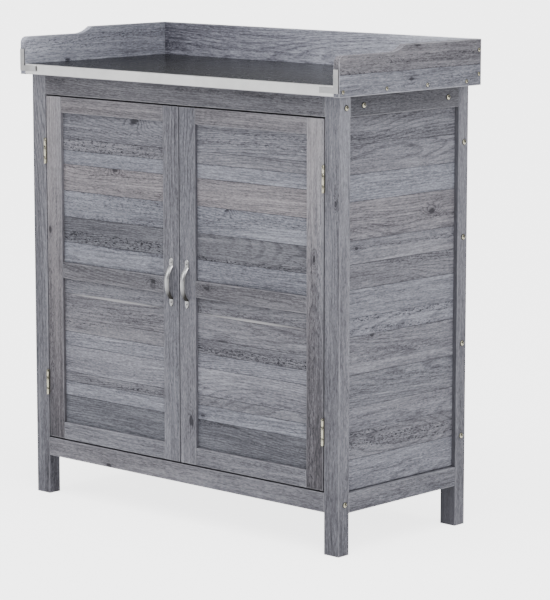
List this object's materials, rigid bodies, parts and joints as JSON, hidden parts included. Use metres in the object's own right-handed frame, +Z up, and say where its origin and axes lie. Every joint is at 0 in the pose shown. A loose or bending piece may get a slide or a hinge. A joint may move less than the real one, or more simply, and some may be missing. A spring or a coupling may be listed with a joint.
{
  "type": "potting bench",
  "caption": "Timber garden cabinet with hinged frame-and-panel doors, an inner shelf, and a metal-clad worktop framed by raised splash boards, standing on square legs.",
  "frame": {"origin": "on the ground, at the middle of the bench's width and depth", "axes": "+Z up, -Y the front with the doors, +X to the right of someone who stands in front of the doors and looks at them"},
  "size_m": [0.83, 0.4, 0.92],
  "materials": {
    "frame_timber": "grey weathered stain, matt",
    "door_timber": "grey weathered stain, matt",
    "door_panel_timber": "grey weathered stain, glued strips, matt",
    "panel_timber": "grey weathered stain, glued strips, matt",
    "splash_timber": "grey weathered stain, matt",
    "inner_timber": "grey weathered stain, matt",
    "worktop_metal": "dark grey, satin",
    "edge_metal": "satin",
    "bracket_metal": "galvanised, satin",
    "zinc_metal": "yellow zinc plated, satin",
    "handle_metal": "satin nickel",
    "catch_plastic": "matt"
  },
  "bodies": {
    "carcass": {"leg_front_left": "frame_timber", "leg_front_right": "frame_timber", "leg_rear_left": "frame_timber", "leg_rear_right": "frame_timber", "front_top_rail": "frame_timber", "front_bottom_rail": "frame_timber", "rear_top_rail": "frame_timber", "rear_bottom_rail": "frame_timber", "side_top_rail_left": "frame_timber", "side_top_rail_right": "frame_timber", "side_bottom_rail_left": "frame_timber", "side_bottom_rail_right": "frame_timber", "side_panel_left": "panel_timber", "side_panel_right": "panel_timber", "back_panel": "panel_timber", "floor_panel": "inner_timber", "middle_shelf": "inner_timber", "shelf_batten_left": "inner_timber", "shelf_batten_right": "inner_timber", "worktop_batten_front": "inner_timber", "worktop_batten_rear": "inner_timber", "worktop_board": "inner_timber", "worktop_sheet": "worktop_metal", "front_edge_strip": "edge_metal", "splash_back": "splash_timber", "splash_left": "splash_timber", "splash_right": "splash_timber", "corner_bracket_left": "bracket_metal", "corner_bracket_right": "bracket_metal", "magnetic_catch": "catch_plastic", "hinge_leg_leaf_left_lower": "zinc_metal", "hinge_pin_left_lower": "zinc_metal", "hinge_leg_leaf_left_upper": "zinc_metal", "hinge_pin_left_upper": "zinc_metal", "hinge_leg_leaf_right_lower": "zinc_metal", "hinge_pin_right_lower": "zinc_metal", "hinge_leg_leaf_right_upper": "zinc_metal", "hinge_pin_right_upper": "zinc_metal"},
    "door_left": {"door_left_hinge_stile": "door_timber", "door_left_centre_stile": "door_timber", "door_left_top_rail": "door_timber", "door_left_mid_rail": "door_timber", "door_left_bottom_rail": "door_timber", "door_left_lower_panel": "door_panel_timber", "door_left_upper_panel": "door_panel_timber", "handle_left": "handle_metal", "strike_plate_left": "zinc_metal", "hinge_door_leaf_left_lower": "zinc_metal", "hinge_door_leaf_left_upper": "zinc_metal"},
    "door_right": {"door_right_hinge_stile": "door_timber", "door_right_centre_stile": "door_timber", "door_right_top_rail": "door_timber", "door_right_mid_rail": "door_timber", "door_right_bottom_rail": "door_timber", "door_right_lower_panel": "door_panel_timber", "door_right_upper_panel": "door_panel_timber", "handle_right": "handle_metal", "strike_plate_right": "zinc_metal", "hinge_door_leaf_right_lower": "zinc_metal", "hinge_door_leaf_right_upper": "zinc_metal"}
  },
  "joints": [
    {"name": "door_left_swing", "type": "hinge", "parent": "carcass", "child": "door_left", "pos_m": [-0.3645, -0.1827, 0.2268], "axis": [0, 0, -1], "range_deg": [0, 180]},
    {"name": "door_right_swing", "type": "hinge", "parent": "carcass", "child": "door_right", "pos_m": [0.3645, -0.1827, 0.2268], "axis": [0, 0, 1], "range_deg": [0, 180]}
  ]
}
